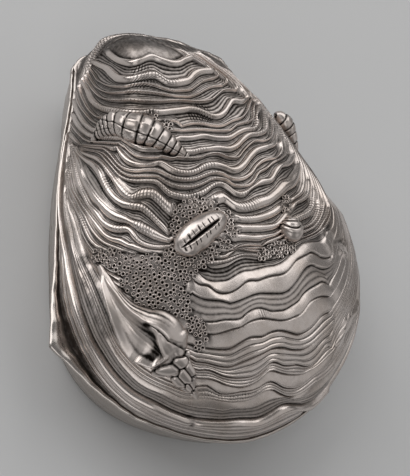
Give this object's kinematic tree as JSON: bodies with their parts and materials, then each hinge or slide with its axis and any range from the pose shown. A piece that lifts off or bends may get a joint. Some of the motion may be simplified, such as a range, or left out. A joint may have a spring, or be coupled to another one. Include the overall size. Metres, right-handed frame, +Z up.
{
  "type": "snuff box",
  "caption": "Silver snuff box shaped as an oyster: a domed, chased lid with small shells in relief, hinged over a deep bowl with a flared lip.",
  "frame": {"origin": "on the plane of the flat foot, under the middle of the rim's outline; the hinge is at the back", "axes": "+Z up from the foot to the dome, -Y towards the lip's corner, +Y towards the hinge, X along the hinge pin"},
  "size_m": [0.083, 0.0703, 0.0384],
  "materials": {
    "plain_silver": "raised and hand-polished silver, softened by fine wear",
    "chased_silver": "chased silver, bright on the ridges and dark in the grooves",
    "relief_silver": "cast silver, burnished",
    "gilt_silver": "gilt silver, satin"
  },
  "bodies": {
    "base": {"lower_valve": "plain_silver", "mouth_bezel": "gilt_silver", "base_hinge_bearer": "plain_silver", "base_knuckle_1": "plain_silver", "base_knuckle_2": "plain_silver", "base_knuckle_3": "plain_silver", "base_knuckle_4": "plain_silver", "hinge_pin": "relief_silver", "pin_plug_left": "plain_silver", "pin_plug_right": "plain_silver"},
    "lid": {"lid": "chased_silver", "lid_hinge_bearer": "plain_silver", "lid_knuckle_1": "plain_silver", "lid_knuckle_2": "plain_silver", "lid_knuckle_3": "plain_silver", "auger_shell": "relief_silver", "cowrie_shell": "relief_silver", "moon_snail": "relief_silver", "whelk_shell": "relief_silver", "side_shell": "relief_silver"}
  },
  "joints": [
    {"name": "lid_hinge", "type": "hinge", "parent": "base", "child": "lid", "pos_m": [-0.003, 0.0351, 0.013], "axis": [-1, 0, 0], "range_deg": [0, 100]}
  ]
}
